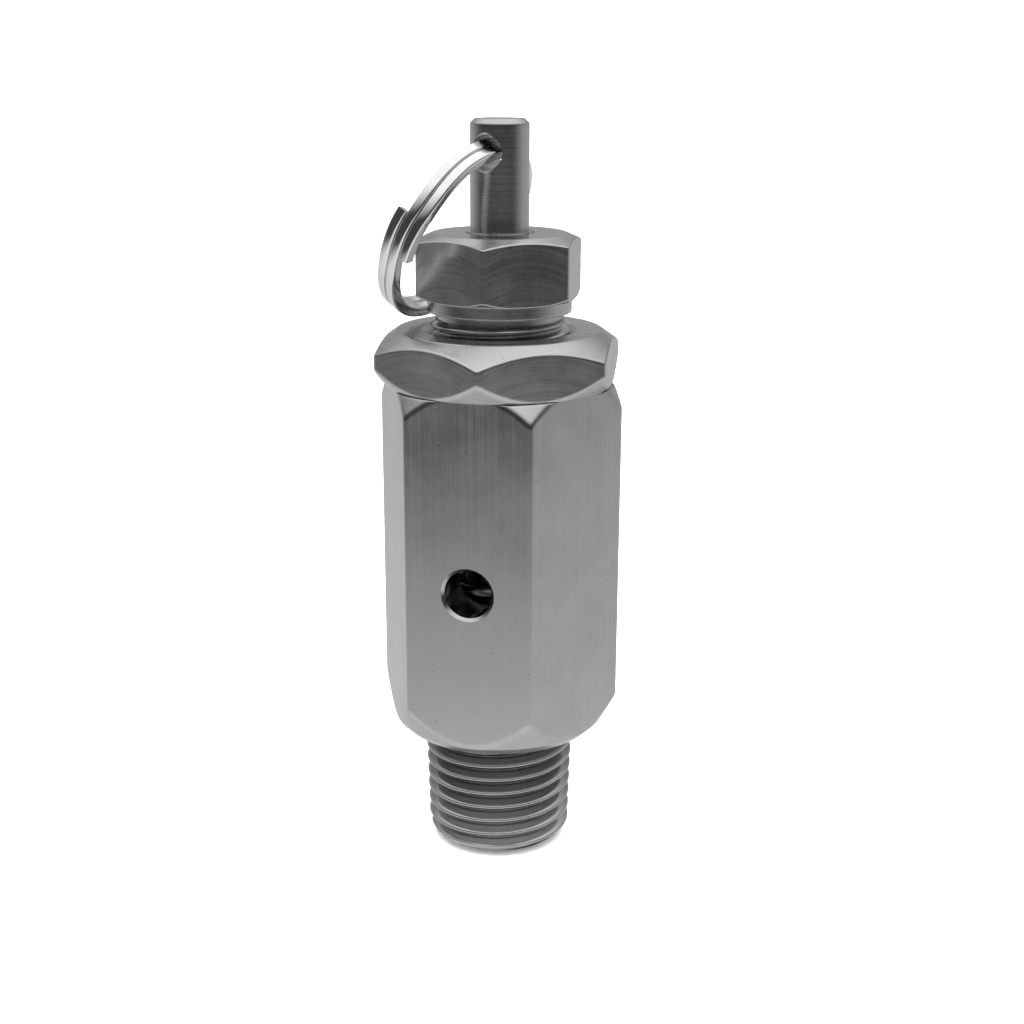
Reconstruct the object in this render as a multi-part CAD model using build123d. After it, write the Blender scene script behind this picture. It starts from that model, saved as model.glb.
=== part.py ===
from build123d import *
import math
import os

# Pressure relief valve, millimetres, +Z up, z = 0 at the open end of the inlet thread.
# A flat of the body with a discharge hole faces -Y.

# inlet thread, R 1/4 taper pipe thread
PIPE_PITCH = 1.337
PIPE_DEPTH = 0.84
PIPE_TAPER_DEG = math.degrees(math.atan(1 / 32))
PIPE_CREST_R = 6.39
PIPE_LENGTH = 11.2
INLET_R = 3.0
INLET_DEPTH = 12.0

# body
BODY_AF = 19.0
BODY_TOP = 42.5
SEAT_R = 2.5
SEAT_Z = 16.5
CHAMBER_FLOOR = 15.0
CHAMBER_R = 5.4
SCREW_BORE_R = 6.05
SCREW_BORE_Z = 31.0
PORT_R = 2.1
PORT_MOUTH = 0.25
PORT_Z = 26.0
PORT_COUNT = 3

# adjusting screw and lock nut, M12x1
SCREW_R = 6.0
SCREW_PITCH = 1.0
SCREW_DEPTH = 0.6
SCREW_BOTTOM = 38.1
COLLAR_R = 6.2
COLLAR_Z = 48.7
CAP_AF = 13.0
CAP_Z = 49.9
CAP_TOP = 55.35
CAP_TURN = 36.1
NUT_AF = 19.6
NUT_TOP = 47.2
NUT_TURN = 37.0

# stem and pull ring
STEM_R = 2.5
STEM_TOP = 64.7
STEM_SHOULDER = 26.0
TIP_R = 1.5
TIP_BOTTOM = 20.2
RING_HOLE_R = 1.45
RING_HOLE_Z = 61.98
RING_HOLE_TURN = 13.65
RING_R = 8.04
RING_LEAN = 58.9
RING_SKEW = 4.0
RING_WIRE = 0.93
RING_STEP = 0.97
RING_THICK = 1.05
RING_END = 80.0
RING_OVERLAP = 24.0
RING_SHIFT = 0.33

# disc and spring set
FLANGE_R = 4.9
FLANGE_TOP = 20.5
BOSS_R = 3.0
DISC_R = 3.75
DISC_TOP = 18.0
PLATE_TOP = 21.5
SPRING_TOP = 36.9
SPRING_R = 4.2
SPRING_WIRE_R = 0.6
SPRING_TURNS = 7.5
PIN_Z = 23.2
PIN_R = 0.5


def turned(points):
    outline = Plane.XZ * Polyline(*points, close=True)
    return revolve(make_face(outline), axis=Axis.Z)


def tube(r_out, r_in, z0, z1):
    return turned([(r_in, z0), (r_out, z0), (r_out, z1), (r_in, z1)])


def hexagon(across_flats, z0, z1, turn, soften):
    sketch = RegularPolygon(across_flats / 2, 6, major_radius=False, rotation=turn)
    bar = Pos(0, 0, z0) * extrude(sketch, amount=z1 - z0)
    return fillet(bar.edges().filter_by(Axis.Z), soften)


def thread_groove(radius, pitch, depth, length, taper_deg):
    path = Helix(pitch, length, radius, cone_angle=taper_deg)
    wide = pitch * 0.43
    reach = 0.4
    outer = wide + reach * (wide - 0.1 * pitch) / depth
    profile = Plane.XZ * Polyline(
        (radius - depth, -0.1 * pitch),
        (radius + reach, -outer),
        (radius + reach, outer),
        (radius - depth, 0.1 * pitch),
        close=True,
    )
    return sweep(make_face(profile), path=path, is_frenet=True)


def pipe_thread():
    top_r = PIPE_CREST_R + PIPE_LENGTH / 32
    blank = turned(
        [
            (0, 0),
            (5.3, 0),
            (PIPE_CREST_R + 0.035, 1.1),
            (top_r, PIPE_LENGTH),
            (top_r - PIPE_DEPTH, PIPE_LENGTH + 0.8),
            (0, PIPE_LENGTH + 0.8),
        ]
    )
    low = 2 * PIPE_PITCH
    groove = thread_groove(
        PIPE_CREST_R - low / 32, PIPE_PITCH, PIPE_DEPTH, PIPE_LENGTH + low - 0.25, PIPE_TAPER_DEG
    )
    return blank - Pos(0, 0, -low) * groove


def valve_body():
    bar = hexagon(BODY_AF, PIPE_LENGTH, BODY_TOP, 0, 0.3)
    envelope = turned(
        [
            (0, PIPE_LENGTH),
            (8.6, PIPE_LENGTH),
            (9.5, PIPE_LENGTH + 0.85),
            (11.2, PIPE_LENGTH + 3.85),
            (11.2, BODY_TOP - 1.98),
            (10.0, BODY_TOP),
            (0, BODY_TOP),
        ]
    )
    body = (bar & envelope) + pipe_thread()
    bore = turned(
        [
            (0, -1),
            (INLET_R, -1),
            (INLET_R, INLET_DEPTH),
            (SEAT_R, INLET_DEPTH + 0.5),
            (SEAT_R, SEAT_Z + 0.1),
            (0, SEAT_Z + 0.1),
        ]
    )
    chamber = turned(
        [
            (0, SEAT_Z),
            (SEAT_R + 0.5, SEAT_Z),
            (SEAT_R + 1.3, CHAMBER_FLOOR),
            (CHAMBER_R, CHAMBER_FLOOR),
            (CHAMBER_R, SCREW_BORE_Z),
            (SCREW_BORE_R, SCREW_BORE_Z + 0.4),
            (SCREW_BORE_R, BODY_TOP - 0.5),
            (SCREW_BORE_R + 0.6, BODY_TOP + 0.1),
            (0, BODY_TOP + 0.1),
        ]
    )
    body = body - bore - chamber
    for k in range(PORT_COUNT):
        drill = Pos(0, -8, PORT_Z) * Rot(90, 0, 0) * Cylinder(PORT_R, 8)
        mouth = Pos(0, -BODY_AF / 2, PORT_Z) * Rot(90, 0, 0) * Cone(
            PORT_R, PORT_R + 2 * PORT_MOUTH, 2 * PORT_MOUTH
        )
        body = body - Rot(0, 0, 120 * k) * (drill + mouth)
    return body


def lock_nut():
    nut = hexagon(NUT_AF, BODY_TOP, NUT_TOP, NUT_TURN, 0.2)
    envelope = turned(
        [
            (SCREW_BORE_R + 0.6, BODY_TOP),
            (9.85, BODY_TOP),
            (11.5, BODY_TOP + 1.93),
            (11.5, NUT_TOP - 1.88),
            (8.8, NUT_TOP),
            (SCREW_BORE_R + 0.6, NUT_TOP),
            (SCREW_BORE_R, NUT_TOP - 0.6),
            (SCREW_BORE_R, BODY_TOP + 0.6),
        ]
    )
    return nut & envelope


def adjusting_screw():
    head = hexagon(CAP_AF, CAP_Z, CAP_TOP, CAP_TURN, 0.25)
    envelope = turned(
        [(0, CAP_Z), (6.9, CAP_Z), (7.7, CAP_Z + 0.46), (7.7, CAP_TOP - 0.85), (5.7, CAP_TOP), (0, CAP_TOP)]
    )
    shank = turned(
        [
            (0, SCREW_BOTTOM),
            (SCREW_R - 0.6, SCREW_BOTTOM),
            (SCREW_R, SCREW_BOTTOM + 0.6),
            (SCREW_R, COLLAR_Z - 0.9),
            (SCREW_R - 0.65, COLLAR_Z - 0.6),
            (SCREW_R - 0.65, COLLAR_Z),
            (0, COLLAR_Z),
        ]
    )
    groove = thread_groove(SCREW_R, SCREW_PITCH, SCREW_DEPTH, COLLAR_Z - SCREW_BOTTOM + 0.6, 0)
    shank = shank - Pos(0, 0, SCREW_BOTTOM - 1.2) * groove
    collar = turned(
        [(0, COLLAR_Z), (COLLAR_R - 0.25, COLLAR_Z), (COLLAR_R, COLLAR_Z + 0.25), (COLLAR_R, CAP_Z), (0, CAP_Z)]
    )
    screw = (head & envelope) + collar + shank
    hole = turned(
        [
            (0, SCREW_BOTTOM - 1),
            (STEM_R + 0.05, SCREW_BOTTOM - 1),
            (STEM_R + 0.05, CAP_TOP - 0.4),
            (STEM_R + 0.55, CAP_TOP + 0.1),
            (0, CAP_TOP + 0.1),
        ]
    )
    return screw - hole


def ring_frame():
    turn = math.radians(RING_HOLE_TURN)
    lean = math.radians(RING_LEAN)
    skew = math.radians(RING_SKEW)
    hole = Vector(-math.sin(turn), -math.cos(turn), 0)
    side = Vector(-math.cos(turn), math.sin(turn), 0)
    along = hole * math.cos(skew) + Vector(0, 0, math.sin(skew))
    down = side * math.cos(lean) - side.cross(along) * math.sin(lean)
    return hole, along, down, along.cross(down)


def stem():
    rod = turned(
        [
            (0, TIP_BOTTOM),
            (TIP_R - 0.3, TIP_BOTTOM),
            (TIP_R, TIP_BOTTOM + 0.3),
            (TIP_R, STEM_SHOULDER),
            (STEM_R, STEM_SHOULDER),
            (STEM_R, STEM_TOP - 0.4),
            (STEM_R - 0.4, STEM_TOP),
            (0, STEM_TOP),
        ]
    )
    axis = ring_frame()[0]
    hole = Plane(origin=(0, 0, RING_HOLE_Z), z_dir=axis) * Cylinder(RING_HOLE_R, 3 * STEM_R)
    return rod - hole - Pos(0, 0, PIN_Z) * Rot(0, 90, 0) * Cylinder(PIN_R, 4 * TIP_R)


def ring_offset(turn_deg):
    start = 0.5 + 0.5 * math.cos(math.pi * min(turn_deg / (RING_OVERLAP + 26), 1))
    finish = 0.5 - 0.5 * math.cos(math.pi * max((turn_deg - 310) / 50, 0))
    return RING_STEP * (0.5 + 0.5 * start - 0.5 * finish)


def pull_ring():
    along, down, across = ring_frame()[1:]
    centre = Vector(0, 0, RING_HOLE_Z) + down * (RING_R - RING_SHIFT)
    spine = []
    guide = []
    steps = int((720 + RING_OVERLAP) / 8)
    for k in range(steps + 1):
        total = 8 * k
        lap = total // 360
        angle = math.radians(RING_END + total)
        offset = ring_offset(total - 360 * lap) - RING_STEP * lap
        flat = centre - down * (RING_R * math.cos(angle)) + along * (RING_R * math.sin(angle))
        spine.append(flat - across * offset)
        guide.append(flat - across * (offset - 3))
    path = Spline(*spine)
    rail = Spline(*guide)
    start = Plane(origin=path @ 0, x_dir=across, z_dir=path % 0)
    section = start * RectangleRounded(RING_WIRE, RING_THICK, 0.2)
    return sweep(section, path=path, binormal=rail)


def disc_holder():
    holder = turned(
        [
            (DISC_R + 0.05, 16.9),
            (FLANGE_R - 0.3, 16.9),
            (FLANGE_R, 17.2),
            (FLANGE_R, FLANGE_TOP),
            (BOSS_R, FLANGE_TOP),
            (BOSS_R, STEM_SHOULDER),
            (TIP_R + 0.05, STEM_SHOULDER),
            (TIP_R + 0.05, TIP_BOTTOM - 0.2),
            (1.0, TIP_BOTTOM - 0.2),
            (1.0, DISC_TOP),
            (DISC_R + 0.05, DISC_TOP),
        ]
    )
    return holder - Pos(0, 0, PIN_Z) * Rot(0, 90, 0) * Cylinder(PIN_R, 4 * BOSS_R)


def seat_disc():
    return tube(DISC_R, 1.05, SEAT_Z, DISC_TOP)


def disc_washer():
    return tube(2.1, 1.05, SEAT_Z - 0.4, SEAT_Z)


def disc_screw():
    screw = turned(
        [
            (0, SEAT_Z - 1.7),
            (1.65, SEAT_Z - 1.7),
            (1.9, SEAT_Z - 1.45),
            (1.9, SEAT_Z - 0.4),
            (0.98, SEAT_Z - 0.4),
            (0.98, DISC_TOP + 1.7),
            (0, DISC_TOP + 1.7),
        ]
    )
    return screw - Pos(0, 0, SEAT_Z - 1.7) * Box(5, 0.5, 1.0)


def stem_pin():
    return Pos(0, 0, PIN_Z) * Rot(0, 90, 0) * Cylinder(PIN_R, 2 * BOSS_R - 0.4)


def lower_spring_plate():
    return tube(4.95, BOSS_R + 0.05, FLANGE_TOP, PLATE_TOP)


def upper_spring_plate():
    return tube(5.6, STEM_R + 0.05, SPRING_TOP, SCREW_BOTTOM)


def spring_height(turns):
    gap = SPRING_TOP - PLATE_TOP
    closed = 2 * SPRING_WIRE_R * 1.03
    active = (gap - 2 * closed) / (SPRING_TURNS - 2)
    if turns < 1:
        return PLATE_TOP + closed * turns
    if turns > SPRING_TURNS - 1:
        return SPRING_TOP - closed * (SPRING_TURNS - turns)
    return PLATE_TOP + closed + active * (turns - 1)


def spring():
    points = []
    steps = int(SPRING_TURNS * 16)
    for k in range(steps + 1):
        turns = k / 16
        height = sum(spring_height(min(max(turns + d / 16, 0), SPRING_TURNS)) for d in range(-3, 4)) / 7
        angle = math.radians(360 * turns)
        points.append((SPRING_R * math.cos(angle), SPRING_R * math.sin(angle), height))
    path = Spline(*points)
    coil = sweep(Plane(origin=path @ 0, z_dir=path % 0) * Circle(SPRING_WIRE_R), path=path)
    return coil & tube(SPRING_R + 1, SPRING_R - 1, PLATE_TOP, SPRING_TOP)


PARTS = {
    "valve_body": valve_body,
    "lock_nut": lock_nut,
    "adjusting_screw": adjusting_screw,
    "stem": stem,
    "pull_ring": pull_ring,
    "disc_holder": disc_holder,
    "seat_disc": seat_disc,
    "disc_washer": disc_washer,
    "disc_screw": disc_screw,
    "stem_pin": stem_pin,
    "lower_spring_plate": lower_spring_plate,
    "spring": spring,
    "upper_spring_plate": upper_spring_plate,
}

os.makedirs("parts", exist_ok=True)
for name, make in PARTS.items():
    shape = make()
    export_step(shape, f"parts/{name}.step")
    print(name, round(shape.volume, 2), shape.bounding_box(), shape.is_valid, len(shape.solids()))
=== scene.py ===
import math

import bmesh
import bpy
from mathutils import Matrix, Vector


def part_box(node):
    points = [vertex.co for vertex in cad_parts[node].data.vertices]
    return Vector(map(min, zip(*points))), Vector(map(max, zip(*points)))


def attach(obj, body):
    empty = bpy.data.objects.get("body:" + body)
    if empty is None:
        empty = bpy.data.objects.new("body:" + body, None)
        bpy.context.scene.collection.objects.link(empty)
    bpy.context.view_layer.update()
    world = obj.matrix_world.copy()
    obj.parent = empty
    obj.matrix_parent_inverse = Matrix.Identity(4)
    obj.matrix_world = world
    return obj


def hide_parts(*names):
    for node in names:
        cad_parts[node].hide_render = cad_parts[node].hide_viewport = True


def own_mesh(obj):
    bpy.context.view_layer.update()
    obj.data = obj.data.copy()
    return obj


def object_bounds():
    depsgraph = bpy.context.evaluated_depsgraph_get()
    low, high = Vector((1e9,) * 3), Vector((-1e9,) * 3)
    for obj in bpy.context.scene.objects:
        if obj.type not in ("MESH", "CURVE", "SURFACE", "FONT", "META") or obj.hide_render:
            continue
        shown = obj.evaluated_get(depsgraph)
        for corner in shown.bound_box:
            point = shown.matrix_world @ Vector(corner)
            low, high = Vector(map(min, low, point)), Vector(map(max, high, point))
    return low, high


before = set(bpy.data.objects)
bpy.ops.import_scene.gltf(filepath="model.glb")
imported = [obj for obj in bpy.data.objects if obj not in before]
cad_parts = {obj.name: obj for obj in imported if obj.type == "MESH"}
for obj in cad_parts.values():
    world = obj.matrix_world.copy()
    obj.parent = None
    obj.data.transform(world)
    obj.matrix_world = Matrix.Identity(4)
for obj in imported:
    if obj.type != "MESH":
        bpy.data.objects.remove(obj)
cad_low, cad_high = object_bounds()

MM = 0.001

# Sizes in millimetres, the same as the CAD model's.
PIPE_PITCH = 1.337
PIPE_DEPTH = 0.84
PIPE_LENGTH = 11.2
PIPE_CREST_R = 6.39
PIPE_TAPER = 1 / 32
BODY_AF = 19.0
INLET_R = 3.0
INLET_DEPTH = 12.0
SEAT_R = 2.5
SEAT_Z = 16.5
CHAMBER_FLOOR = 15.0
CHAMBER_R = 5.4
SCREW_BORE_R = 6.05
SCREW_BORE_Z = 31.0
PORT_R = 2.1
PORT_MOUTH = 0.25
PORT_Z = 26.0
PORT_COUNT = 3
SCREW_R = 6.0
SCREW_PITCH = 1.0
SCREW_DEPTH = 0.6
COLLAR_R = 6.2
COLLAR_Z = 48.7
CAP_AF = 13.0
CAP_Z = 49.9
CAP_TURN = 36.1
NUT_AF = 19.6
NUT_TURN = 37.0
TIP_R = 1.5
TIP_BOTTOM = 20.2
STEM_SHOULDER = 26.0
STEM_R = 2.5
RING_HOLE_R = 1.45
RING_HOLE_Z = 61.98
RING_HOLE_TURN = 13.65
RING_R = 8.04
RING_LEAN = 58.9
RING_SKEW = 4.0
RING_WIRE = 0.93
RING_STEP = 0.97
RING_THICK = 1.05
RING_END = 80.0
RING_OVERLAP = 24.0
RING_SHIFT = 0.33
SPRING_R = 4.2
SPRING_WIRE_R = 0.6
SPRING_TURNS = 7.5


def low_high(node):
    """A node's lowest and highest z, in millimetres."""
    low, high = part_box(node)
    return low.z / MM, high.z / MM


BODY_TOP = low_high("valve_body")[1]
NUT_TOP = low_high("lock_nut")[1]
SCREW_BOTTOM, CAP_TOP = low_high("adjusting_screw")
STEM_TOP = low_high("stem")[1]
PLATE_TOP = low_high("lower_spring_plate")[1]
SPRING_TOP = low_high("upper_spring_plate")[0]


# ---------------------------------------------------------------- materials


class Nodes:
    """A short way to write a node tree."""

    def __init__(self, tree):
        self.tree = tree

    def add(self, kind, inputs=(), **settings):
        node = self.tree.nodes.new(kind)
        for key, value in settings.items():
            setattr(node, key, value)
        for key, value in dict(inputs).items():
            self.put(node.inputs[key], value)
        return node

    def put(self, socket, value):
        if isinstance(value, bpy.types.NodeSocket):
            self.tree.links.new(value, socket)
        else:
            socket.default_value = value

    def math(self, operation, a, b=0.0, c=0.0):
        return self.add("ShaderNodeMath", {0: a, 1: b, 2: c}, operation=operation).outputs[0]

    def split(self, vector):
        return self.add("ShaderNodeSeparateXYZ", {0: vector}).outputs

    def radius(self, x, y):
        """Distance from the z axis."""
        return self.math("SQRT", self.math("ADD", self.math("MULTIPLY", x, x), self.math("MULTIPLY", y, y)))

    def grey(self, level):
        return self.add("ShaderNodeCombineColor", {0: level, 1: level, 2: level}).outputs[0]

    def noise(self, vector, scale, detail=3.0, roughness=0.5):
        inputs = {"Vector": vector, "Scale": scale, "Detail": detail, "Roughness": roughness}
        return self.add("ShaderNodeTexNoise", inputs).outputs[0]

    def remap(self, value, low, high, to_low, to_high):
        inputs = {0: value, 1: low, 2: high, 3: to_low, 4: to_high}
        return self.add("ShaderNodeMapRange", inputs).outputs[0]


def emptied(owner):
    """A material's or world's node tree, with nothing in it."""
    owner.use_nodes = True
    owner.node_tree.nodes.clear()
    return Nodes(owner.node_tree)


def grain_vector(n, coords, grain, along, across):
    """Coordinates stretched along the grain: "drawn" runs along the bar, "turned" runs round the axis."""
    x, y, z = n.split(coords)
    sideways, upwards = across, along
    if grain == "turned":
        sideways, upwards = along, across
        z = n.math("ADD", z, n.radius(x, y))
    parts = (n.math("MULTIPLY", x, sideways), n.math("MULTIPLY", y, sideways), n.math("MULTIPLY", z, upwards))
    return n.add("ShaderNodeCombineXYZ", dict(enumerate(parts))).outputs[0]


def painted_groove_shade(n, coords, cloud):
    """Painted shade in the pipe thread's grooves, thicker towards the body, and a painted contact shadow
    round the open end.
    """
    x, y, z = n.split(coords)
    radius = n.radius(x, y)
    crest = n.math("ADD", n.math("MULTIPLY", z, PIPE_TAPER), PIPE_CREST_R * MM)
    # Painted shade: darkens the thread below its crest, in the grooves.
    below = n.remap(n.math("SUBTRACT", crest, radius), 0.08 * MM, 0.25 * MM, 0.0, 1.0)
    # More painted shade towards the body, less further down.
    near_body = n.remap(z, 2.0 * MM, 6.5 * MM, 0.06, 0.42)
    # Painted contact shadow round the open end.
    near_end = n.remap(z, 0.3 * MM, 1.0 * MM, 0.42, 0.0)
    uneven = n.remap(cloud, 0.3, 0.6, 0.75, 1.1)
    amount = n.math("MULTIPLY", n.math("ADD", near_body, near_end), uneven)
    return n.math("MULTIPLY", below, amount)


def steel(name, tone, rough, grain, depth, stain=0.10, painted_shade=None):
    """Stainless steel with tool marks along its grain, faint stains and small pits, and painted shade where a
    function for it is given.
    """
    material = bpy.data.materials.new(name)
    n = emptied(material)
    coords = n.add("ShaderNodeTexCoord").outputs["Object"]
    fine = n.noise(grain_vector(n, coords, grain, 60, 9000), 1.0, 4.0, 0.6)
    coarse = n.noise(grain_vector(n, coords, grain, 25, 2200), 1.0, 2.0, 0.5)
    cloud = n.noise(coords, 260.0, 4.0, 0.6)
    patch = n.noise(coords, 75.0, 2.0, 0.5)
    speck = n.noise(coords, 3200.0, 2.0, 0.5)
    pits = n.remap(speck, 0.70, 0.78, 0.0, 1.0)
    marks = n.math("ADD", n.math("MULTIPLY", fine, 0.6), n.math("MULTIPLY", coarse, 0.4))

    stains = n.remap(cloud, 0.3, 0.7, -stain, stain * 0.5)
    light = n.math("ADD", n.remap(marks, 0.3, 0.7, -0.07, 0.07), stains)
    light = n.math("ADD", light, n.remap(patch, 0.3, 0.7, -0.04, 0.04))
    light = n.math("SUBTRACT", light, n.math("MULTIPLY", pits, 0.25))
    # Painted shade from the given function darkens the colour.
    if painted_shade:
        light = n.math("SUBTRACT", light, painted_shade(n, coords, cloud))
    shade = n.math("MULTIPLY", n.math("ADD", light, 1.0), tone)
    warm = n.math("MULTIPLY", shade, 0.985)
    color = n.add("ShaderNodeCombineColor", {0: shade, 1: shade, 2: warm}).outputs[0]

    gloss = n.math("ADD", n.remap(marks, 0.3, 0.7, -0.06, 0.06), n.remap(cloud, 0.35, 0.7, -0.03, 0.06))
    gloss = n.math("ADD", gloss, rough)

    height = n.math("SUBTRACT", n.math("MULTIPLY", marks, 1.0), n.math("MULTIPLY", pits, 0.8))
    height = n.math("ADD", height, n.math("MULTIPLY", cloud, 0.5))
    bump = n.add("ShaderNodeBump", {"Strength": 0.35, "Distance": depth * MM, "Height": height}).outputs[0]

    inputs = {"Base Color": color, "Metallic": 1.0, "Roughness": gloss, "Normal": bump}
    shader = n.add("ShaderNodeBsdfPrincipled", inputs)
    n.add("ShaderNodeOutputMaterial", {0: shader.outputs[0]})
    return material


def rubber(name):
    """Dark moulded rubber."""
    material = bpy.data.materials.new(name)
    n = emptied(material)
    coords = n.add("ShaderNodeTexCoord").outputs["Object"]
    grain = n.noise(coords, 4500.0, 3.0, 0.6)
    shade = n.remap(grain, 0.3, 0.7, 0.018, 0.035)
    color = n.grey(shade)
    bump = n.add("ShaderNodeBump", {"Strength": 0.4, "Distance": 0.03 * MM, "Height": grain}).outputs[0]
    inputs = {"Base Color": color, "Roughness": n.remap(grain, 0.3, 0.7, 0.55, 0.75), "Normal": bump}
    shader = n.add("ShaderNodeBsdfPrincipled", inputs)
    n.add("ShaderNodeOutputMaterial", {0: shader.outputs[0]})
    return material


BAR = steel("bar_steel", 0.50, 0.21, "drawn", 0.012)
THREAD = steel("thread_steel", 0.46, 0.21, "turned", 0.02)
# The pipe thread's colour carries painted shade in its grooves and a painted contact shadow at its open end.
PIPE_THREAD = steel("pipe_thread_steel", 0.48, 0.21, "turned", 0.02, painted_shade=painted_groove_shade)
NUT = steel("nut_steel", 0.50, 0.27, "turned", 0.014)
TURNED = steel("turned_steel", 0.48, 0.25, "turned", 0.014)
WIRE = steel("ring_steel", 0.76, 0.15, "drawn", 0.006, stain=0.05)
INNER = steel("inner_steel", 0.42, 0.30, "turned", 0.014)
COIL = steel("spring_steel", 0.36, 0.28, "drawn", 0.010)
SEAT = rubber("seat_rubber")


# ---------------------------------------------------------------- mesh tools


def make_object(name, bm, material, body, slot, *nodes):
    """Turns a bmesh in millimetres into a piece that rides on a body and stands for CAD nodes."""
    bmesh.ops.remove_doubles(bm, verts=bm.verts, dist=1e-5)
    bmesh.ops.recalc_face_normals(bm, faces=bm.faces)
    for vert in bm.verts:
        vert.co *= MM
    mesh = bpy.data.meshes.new(name)
    bm.to_mesh(mesh)
    bm.free()
    piece = bpy.data.objects.new(name, mesh)
    bpy.context.scene.collection.objects.link(piece)
    mesh.materials.append(material)
    mesh.shade_smooth()
    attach(piece, body)
    if nodes:
        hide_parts(*nodes)
    return piece


def add_grid(bm, rows, close_rows=False, cap_ends=False):
    """Adds a grid of quads through closed rows of points."""
    made = [[bm.verts.new(p) for p in row] for row in rows]
    count = len(made[0])
    for i in range(len(made) if close_rows else len(made) - 1):
        a, b = made[i], made[(i + 1) % len(made)]
        for k in range(count):
            j = (k + 1) % count
            bm.faces.new((a[k], a[j], b[j], b[k]))
    if cap_ends:
        bm.faces.new(made[0][::-1])
        bm.faces.new(made[-1])


def softened(points, radius):
    """A closed outline of (r, z) points with every corner rounded."""
    done = []
    for i, corner in enumerate(points):
        here = Vector(corner)
        before = Vector(points[i - 1]) - here
        after = Vector(points[(i + 1) % len(points)]) - here
        reach = min(radius, before.length * 0.45, after.length * 0.45)
        start = here + before.normalized() * reach
        end = here + after.normalized() * reach
        for k in range(6):
            t = k / 5
            done.append(start * (1 - t) ** 2 + here * 2 * t * (1 - t) + end * t ** 2)
    return done


def divided(points, step):
    """A closed outline with extra points so that no run is longer than step."""
    done = []
    for i, point in enumerate(points):
        after = points[(i + 1) % len(points)]
        run = (after - point).length
        count = max(1, math.ceil(run / step))
        done += [point.lerp(after, k / count) for k in range(count)]
    return done


def soft_min(a, b, soft):
    gap = max(soft - abs(a - b), 0) / soft
    return min(a, b) - gap * gap * soft * 0.25


def hex_reach(angle, apothem, turn, soft):
    """Distance from the axis to a hexagon's side at an angle, with soft corners at turn + 60 k degrees."""
    local = (math.degrees(angle) - turn) % 60
    this = apothem / math.cos(math.radians(local - 30))
    other = apothem / math.cos(math.radians(local + 30 if local < 30 else local - 90))
    return soft_min(this, other, soft)


def add_turned(bm, outline, stations=240, flats=None, turn=0.0, soft=0.25):
    """Adds a solid turned from a closed outline, cut to a hexagon where flats gives its width."""
    reach = [1e9] * stations
    if flats:
        reach = [hex_reach(math.tau * k / stations, flats / 2, turn, soft) for k in range(stations)]
    rows = []
    for r, z in outline:
        row = []
        for k in range(stations):
            angle = math.tau * k / stations
            radius = soft_min(r, reach[k], soft) if flats else r
            row.append((radius * math.cos(angle), radius * math.sin(angle), z))
        rows.append(row)
    add_grid(bm, rows, close_rows=True)


def thread_form(s):
    """Share of a thread's depth at s pitches from a crest: 0 on the crest, 1 at the root."""
    away = abs((s + 0.5) % 1 - 0.5)
    t = min(max((away - 0.05) / 0.40, 0), 1)
    return t + 0.5 * (t * t * (3 - 2 * t) - t)


def add_thread(bm, low, high, pitch, depth, crest, envelope):
    """Adds a screw thread's surface, one strip that winds up the axis. crest and envelope are radii at z."""
    stations, samples = 160, 20
    first = int((low / pitch - 1.5) * stations)
    last = int((high / pitch + 0.5) * stations)
    rows = []
    for i in range(first, last + 1):
        angle = math.tau * i / stations
        row = []
        for k in range(samples + 1):
            z = pitch * (i / stations + k / samples)
            radius = min(crest(z) - depth * thread_form(k / samples), envelope(z))
            row.append(Vector((radius * math.cos(angle), radius * math.sin(angle), min(max(z, low), high))))
        rows.append(row)
    made = [[bm.verts.new(p) for p in row] for row in rows]
    for a, b in zip(made, made[1:]):
        for k in range(samples):
            corners = (a[k], b[k], b[k + 1], a[k + 1])
            heights = [v.co.z for v in corners]
            if max(heights) > low and min(heights) < high:
                bm.faces.new(corners)


def swept(bm, spine, across_of, section):
    """Adds a tube along spine. section holds (across, out) pairs, whose directions across_of(i) gives."""
    rows = []
    for i, point in enumerate(spine):
        across, out = across_of(i)
        rows.append([point + across * a + out * o for a, o in section])
    add_grid(bm, rows, cap_ends=True)


def cut(piece, cutter):
    """Cuts a mesh out of a piece."""
    modifier = piece.modifiers.new("cut", "BOOLEAN")
    modifier.operation = "DIFFERENCE"
    modifier.solver = "EXACT"
    modifier.object = cutter
    graph = bpy.context.evaluated_depsgraph_get()
    made = bpy.data.meshes.new_from_object(piece.evaluated_get(graph))
    piece.modifiers.clear()
    piece.data = made
    bpy.data.objects.remove(cutter)


def sharpen(piece, degrees):
    """Marks the edges that turn by more than an angle, so that they shade as edges."""
    bm = bmesh.new()
    bm.from_mesh(piece.data)
    for edge in bm.edges:
        edge.smooth = not (len(edge.link_faces) == 2 and edge.calc_face_angle() > math.radians(degrees))
    for face in bm.faces:
        face.smooth = True
    bm.to_mesh(piece.data)
    bm.free()


def drill(centre, direction, radius, reach, mouth):
    """A cutter for a hole through centre, opened at each end by a small chamfer of height mouth."""
    bm = bmesh.new()
    axis = Vector(direction).normalized()
    side = axis.orthogonal().normalized()
    other = axis.cross(side)
    spread = 1.2
    flare = (radius + spread, reach + spread - mouth)
    profile = [(flare[0], -flare[1]), (radius, mouth - reach), (radius, reach - mouth), flare]
    rows = []
    for r, along in profile:
        turn = [math.tau * k / 96 for k in range(96)]
        middle = Vector(centre) + axis * along
        rows.append([middle + (side * math.cos(t) + other * math.sin(t)) * r for t in turn])
    add_grid(bm, rows, cap_ends=True)
    bmesh.ops.recalc_face_normals(bm, faces=bm.faces)
    for vert in bm.verts:
        vert.co *= MM
    mesh = bpy.data.meshes.new("drill")
    bm.to_mesh(mesh)
    bm.free()
    cutter = bpy.data.objects.new("drill", mesh)
    bpy.context.scene.collection.objects.link(cutter)
    return cutter


# ---------------------------------------------------------------- pieces


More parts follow.
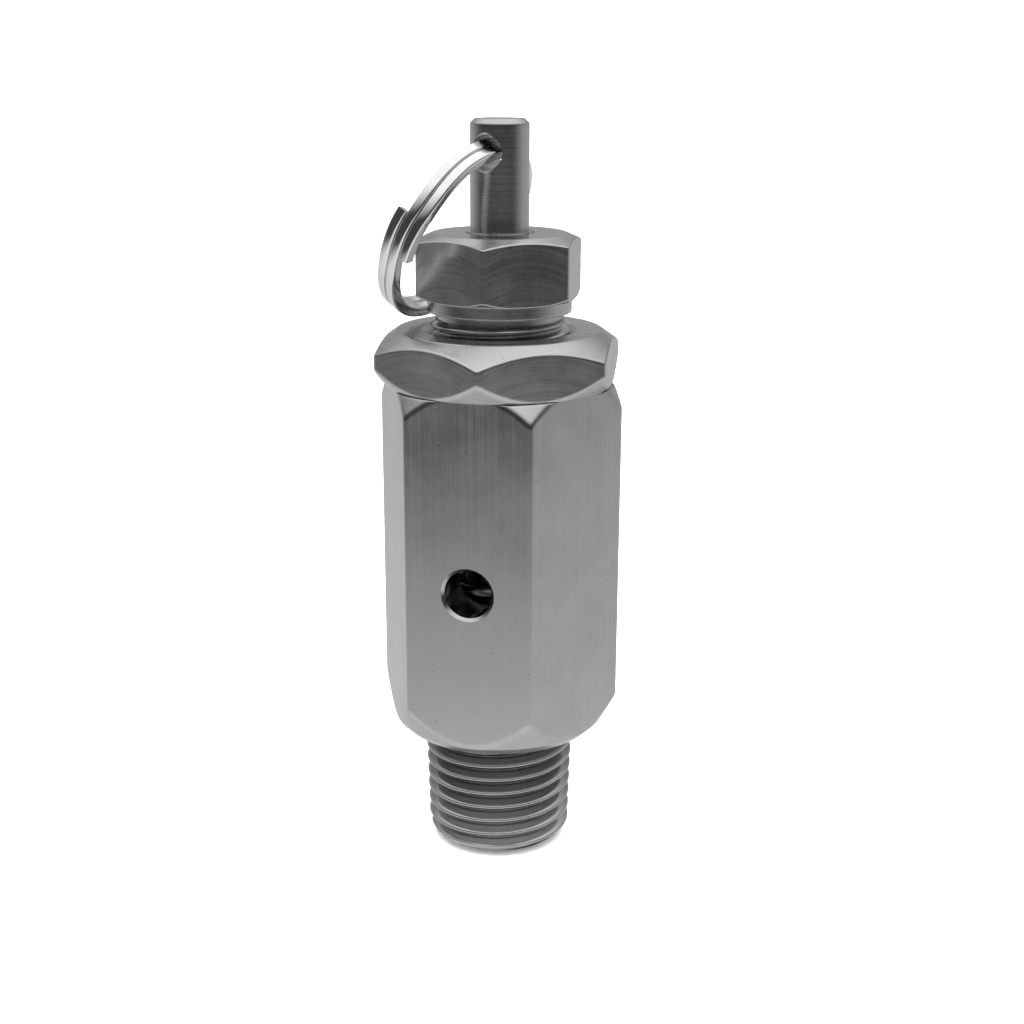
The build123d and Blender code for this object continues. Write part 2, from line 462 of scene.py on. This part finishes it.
def make_body():
    outline = softened(
        [
            # open end and the core under the pipe thread
            (INLET_R, 0),
            (5.27, 0),
            (5.2, 0.3),
            (5.2, PIPE_LENGTH),
            # the bar, with both ends turned down
            (8.6, PIPE_LENGTH),
            (9.5, PIPE_LENGTH + 0.85),
            (11.2, PIPE_LENGTH + 3.85),
            (11.2, BODY_TOP - 1.98),
            (10.0, BODY_TOP),
            # bore for the adjusting screw, chamber, raised seat and passage
            (SCREW_BORE_R + 0.6, BODY_TOP),
            (SCREW_BORE_R, BODY_TOP - 0.6),
            (SCREW_BORE_R, SCREW_BORE_Z + 0.4),
            (CHAMBER_R, SCREW_BORE_Z),
            (CHAMBER_R, CHAMBER_FLOOR),
            (SEAT_R + 1.3, CHAMBER_FLOOR),
            (SEAT_R + 0.5, SEAT_Z),
            (SEAT_R, SEAT_Z),
            (SEAT_R, INLET_DEPTH + 0.5),
            (INLET_R, INLET_DEPTH),
        ],
        0.12,
    )
    bm = bmesh.new()
    add_turned(bm, divided(outline, 0.14), stations=480, flats=BODY_AF, turn=0.0, soft=0.22)
    piece = make_object("body_bar", bm, BAR, "housing", "body_steel", "valve_body")
    reach = 2.3
    for k in range(PORT_COUNT):
        angle = math.radians(360 // PORT_COUNT * k - 90)
        out = Vector((math.cos(angle), math.sin(angle), 0))
        centre = Vector((0, 0, PORT_Z)) + out * (BODY_AF / 2 - reach)
        cut(piece, drill(centre, out, PORT_R, reach, PORT_MOUTH))
    sharpen(piece, 40)


def make_inlet_thread():
    bm = bmesh.new()
    add_thread(
        bm,
        0.0,
        PIPE_LENGTH,
        PIPE_PITCH,
        PIPE_DEPTH,
        lambda z: PIPE_CREST_R + z * PIPE_TAPER,
        # chamfer at the open end
        lambda z: 5.3 + max(z, 0),
    )
    make_object("inlet_thread", bm, PIPE_THREAD, "housing", "body_steel", "valve_body")


def make_nut():
    outline = softened(
        [
            (SCREW_BORE_R + 0.6, BODY_TOP),
            (9.85, BODY_TOP),
            (11.5, BODY_TOP + 1.93),
            (11.5, NUT_TOP - 1.88),
            (8.8, NUT_TOP),
            (SCREW_BORE_R + 0.6, NUT_TOP),
            (SCREW_BORE_R, NUT_TOP - 0.6),
            (SCREW_BORE_R, BODY_TOP + 0.6),
        ],
        0.15,
    )
    bm = bmesh.new()
    add_turned(bm, divided(outline, 0.09), stations=480, flats=NUT_AF, turn=NUT_TURN, soft=0.22)
    make_object("lock_nut_hex", bm, NUT, "lock_nut_body", "nut_steel", "lock_nut")


def make_cap():
    outline = softened(
        [
            (STEM_R + 0.05, CAP_TOP - 0.45),
            (STEM_R + 0.5, CAP_TOP),
            (5.7, CAP_TOP),
            (7.7, CAP_TOP - 0.85),
            (7.7, CAP_Z + 0.46),
            (6.9, CAP_Z),
            (COLLAR_R, CAP_Z),
            (COLLAR_R, COLLAR_Z),
            (SCREW_R - 0.65, COLLAR_Z),
            (SCREW_R - 0.65, SCREW_BOTTOM),
            (STEM_R + 0.05, SCREW_BOTTOM),
        ],
        0.14,
    )
    bm = bmesh.new()
    add_turned(bm, divided(outline, 0.09), stations=480, flats=CAP_AF, turn=CAP_TURN, soft=0.2)
    make_object("adjusting_screw_head", bm, TURNED, "adjuster", "turned_steel", "adjusting_screw")


def make_screw_thread():
    bm = bmesh.new()
    low = SCREW_BOTTOM
    high = COLLAR_Z - 0.6
    add_thread(
        bm,
        low,
        high,
        SCREW_PITCH,
        SCREW_DEPTH,
        lambda z: SCREW_R,
        lambda z: SCREW_R - max(0.0, low + 0.6 - z, z - high + 0.4),
    )
    make_object("adjusting_screw_thread", bm, THREAD, "adjuster", "turned_steel", "adjusting_screw")


def ring_frame():
    """The cross hole's axis, and the ring's three directions: along the wire in the hole, down and across."""
    turn = math.radians(RING_HOLE_TURN)
    lean = math.radians(RING_LEAN)
    skew = math.radians(RING_SKEW)
    hole = Vector((-math.sin(turn), -math.cos(turn), 0))
    side = Vector((-math.cos(turn), math.sin(turn), 0))
    along = hole * math.cos(skew) + Vector((0, 0, math.sin(skew)))
    down = side * math.cos(lean) - side.cross(along) * math.sin(lean)
    return hole, along, down, along.cross(down)


def make_stem():
    outline = softened(
        [
            (0.0, TIP_BOTTOM),
            (TIP_R - 0.3, TIP_BOTTOM),
            (TIP_R, TIP_BOTTOM + 0.3),
            (TIP_R, STEM_SHOULDER),
            (STEM_R, STEM_SHOULDER),
            (STEM_R, STEM_TOP - 0.4),
            (STEM_R - 0.4, STEM_TOP),
            (0.0, STEM_TOP),
        ],
        0.12,
    )
    bm = bmesh.new()
    add_turned(bm, divided(outline, 0.3), stations=144)
    piece = make_object("stem_rod", bm, TURNED, "stem_group", "turned_steel", "stem")
    cut(piece, drill((0, 0, RING_HOLE_Z), ring_frame()[0], RING_HOLE_R, 2.5, 0.18))
    sharpen(piece, 35)


def ring_offset(turn_deg):
    start = 0.5 + 0.5 * math.cos(math.pi * min(turn_deg / (RING_OVERLAP + 26), 1))
    finish = 0.5 - 0.5 * math.cos(math.pi * max((turn_deg - 310) / 50, 0))
    return RING_STEP * (0.5 + 0.5 * start - 0.5 * finish)


def rounded_box(width, height, radius):
    """Points round a rectangle with rounded corners."""
    done = []
    for cx, cy, first in ((1, 1, 0), (-1, 1, 90), (-1, -1, 180), (1, -1, 270)):
        middle = (cx * (width / 2 - radius), cy * (height / 2 - radius))
        for k in range(5):
            t = math.radians(first + 22.5 * k)
            done.append((middle[0] + radius * math.cos(t), middle[1] + radius * math.sin(t)))
    return done


def make_ring():
    along, down, across = ring_frame()[1:]
    centre = Vector((0, 0, RING_HOLE_Z)) + down * (RING_R - RING_SHIFT)
    spine, outs = [], []
    steps = int((720 + RING_OVERLAP) / 2)
    for k in range(steps + 1):
        total = 2 * k
        lap = total // 360
        angle = math.radians(RING_END + total)
        offset = ring_offset(total - 360 * lap) - RING_STEP * lap
        out = -down * math.cos(angle) + along * math.sin(angle)
        spine.append(centre + out * RING_R - across * offset)
        outs.append(out)
    bm = bmesh.new()
    swept(bm, spine, lambda i: (across, outs[i]), rounded_box(RING_WIRE, RING_THICK, 0.2))
    piece = make_object("pull_ring_wire", bm, WIRE, "ring", "ring_steel", "pull_ring")
    sharpen(piece, 50)


def spring_height(turns):
    gap = SPRING_TOP - PLATE_TOP
    closed = 2 * SPRING_WIRE_R * 1.03
    active = (gap - 2 * closed) / (SPRING_TURNS - 2)
    if turns < 1:
        return PLATE_TOP + closed * turns
    if turns > SPRING_TURNS - 1:
        return SPRING_TOP - closed * (SPRING_TURNS - turns)
    return PLATE_TOP + closed + active * (turns - 1)


def make_coil(name, body, first, last, *nodes):
    """The part of the spring's wire between two counts of turns."""
    spine, outs = [], []
    steps = round((last - first) * 48)
    for k in range(steps + 1):
        turns = first + k / 48
        spread = [spring_height(min(max(turns + d / 16, 0), SPRING_TURNS)) for d in range(-3, 4)]
        angle = math.tau * turns
        out = Vector((math.cos(angle), math.sin(angle), 0))
        spine.append(out * SPRING_R + Vector((0, 0, sum(spread) / 7)))
        outs.append(out)
    up = Vector((0, 0, 1))
    round_wire = [math.tau * k / 20 for k in range(20)]
    circle = [(SPRING_WIRE_R * math.cos(t), SPRING_WIRE_R * math.sin(t)) for t in round_wire]
    bm = bmesh.new()
    swept(bm, spine, lambda i: (up, outs[i]), circle)
    for vert in bm.verts:
        vert.co.z = min(max(vert.co.z, PLATE_TOP), SPRING_TOP)
    return make_object(name, bm, COIL, body, "spring_steel", *nodes)


def make_spring():
    """The spring in two lengths.

    The lower one shortens when the screw goes down, and the upper one when the stem lifts.
    """
    parting = 5.5
    lower = make_coil("spring_coil_lower", "stem_group", 0, parting, "spring")
    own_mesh(lower)
    upper = make_coil("spring_coil_upper", "upper_plate_body", parting + 0.002, SPRING_TURNS)
    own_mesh(upper)


def finish_cad_nodes():
    """Gives the CAD nodes inside the body their materials."""
    plates = ("lower_spring_plate", "upper_spring_plate")
    for name in ("disc_holder", "disc_washer", "disc_screw", "stem_pin", *plates):
        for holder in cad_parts[name].material_slots:
            holder.material = INNER
    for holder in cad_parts["seat_disc"].material_slots:
        holder.material = SEAT


# ---------------------------------------------------------------- studio

# Degrees from the -Y side of the object round to the camera.
CAMERA_TURN = 16.85
# Height in metres that the lamps stand round.
OBJECT_MIDDLE = 0.03


def make_floor():
    """A pale floor that curves up into a low round wall."""
    bm = bmesh.new()
    reach, bend, top = 0.9, 0.35, 1.1
    line = [(0.0, 0.0), (0.3, 0.0), (reach, 0.0)]
    for k in range(1, 16):
        t = math.radians(6 * k)
        line.append((reach + bend * math.sin(t), bend - bend * math.cos(t)))
    line.append((reach + bend, top))
    rows = []
    for radius, height in line:
        turn = [math.tau * k / 96 for k in range(96)]
        z = cad_low.z + height
        rows.append([Vector((radius * math.cos(t), radius * math.sin(t), z)) for t in turn])
    add_grid(bm, rows)
    bmesh.ops.remove_doubles(bm, verts=bm.verts, dist=1e-5)
    bmesh.ops.recalc_face_normals(bm, faces=bm.faces)
    mesh = bpy.data.meshes.new("floor")
    bm.to_mesh(mesh)
    bm.free()
    mesh.shade_smooth()
    floor = bpy.data.objects.new("floor", mesh)
    bpy.context.scene.collection.objects.link(floor)
    material = bpy.data.materials.new("floor_paper")
    material.use_nodes = True
    shader = material.node_tree.nodes["Principled BSDF"]
    shader.inputs["Base Color"].default_value = (0.9, 0.9, 0.9, 1)
    shader.inputs["Roughness"].default_value = 0.9
    mesh.materials.append(material)
    floor.visible_glossy = False


def square_light(name, place, side, power):
    """A soft lamp for the floor and the contact shadow. The metal mirrors the world instead."""
    light = bpy.data.lights.new(name, "AREA")
    light.shape = "SQUARE"
    light.size = side
    light.energy = power
    lamp = bpy.data.objects.new(name, light)
    bpy.context.scene.collection.objects.link(lamp)
    lamp.location = place
    lamp.rotation_euler = (-place).to_track_quat("-Z", "Y").to_euler()
    lamp.visible_glossy = False


def round_about(azimuth, elevation, distance):
    """A place round the object's middle: azimuth 0 is the camera's own side and 90 is to its right."""
    a = math.radians(azimuth + CAMERA_TURN)
    e = math.radians(elevation)
    flat = distance * math.cos(e)
    return Vector((flat * math.sin(a), -flat * math.cos(a), OBJECT_MIDDLE + distance * math.sin(e)))


def make_world():
    """The studio round the object: bright overhead, behind and low down, dim towards the camera."""
    world = bpy.data.worlds.new("studio")
    bpy.context.scene.world = world
    n = emptied(world)
    x, y, up = n.split(n.add("ShaderNodeTexCoord").outputs["Generated"])
    cos_turn = math.cos(math.radians(CAMERA_TURN))
    sin_turn = math.sin(math.radians(CAMERA_TURN))
    behind = n.math("SUBTRACT", n.math("MULTIPLY", y, cos_turn), n.math("MULTIPLY", x, sin_turn))
    right = n.math("ADD", n.math("MULTIPLY", x, cos_turn), n.math("MULTIPLY", y, sin_turn))
    front_low = n.remap(up, -0.44, -0.195, 0.87, 0.0)
    front_high = n.remap(up, 0.35, 0.78, 0.06, 1.2)
    front = n.math("ADD", front_low, front_high)
    back_low = n.remap(up, -0.40, 0.25, 0.74, 0.38)
    back_high = n.remap(up, 0.35, 0.90, 0.0, 0.95)
    back = n.math("ADD", back_low, back_high)
    share = n.remap(n.math("ADD", behind, n.math("MULTIPLY", right, 0.2)), -0.42, 0.42, 0.0, 1.0)
    gap = n.math("SUBTRACT", back, front)
    level = n.math("ADD", front, n.math("MULTIPLY", gap, share))
    color = n.grey(level)
    shader = n.add("ShaderNodeBackground", {"Color": color, "Strength": 1.0})
    n.add("ShaderNodeOutputWorld", {0: shader.outputs[0]})


def make_lights():
    square_light("top_box", round_about(15, 66, 0.60), 0.50, 1.8)
    square_light("ceiling", round_about(0, 90, 1.4), 1.6, 34.0)


def make_camera():
    camera = bpy.data.cameras.new("photo_camera")
    camera.sensor_width = 36
    camera.lens = 55.04
    camera.clip_start = 0.005
    camera.clip_end = 50
    holder = bpy.data.objects.new("photo_camera", camera)
    bpy.context.scene.collection.objects.link(holder)
    holder.location = Vector((37.92, -128.2, 69.3)) * MM
    holder.rotation_euler = (math.radians(90 - 16.1), math.radians(-0.2), math.radians(CAMERA_TURN - 0.80))
    bpy.context.scene.camera = holder


make_body()
make_inlet_thread()
make_nut()
make_cap()
make_screw_thread()
make_stem()
make_ring()
make_spring()
finish_cad_nodes()
make_floor()
make_world()
make_lights()
make_camera()
bpy.context.scene.view_settings.view_transform = "Standard"
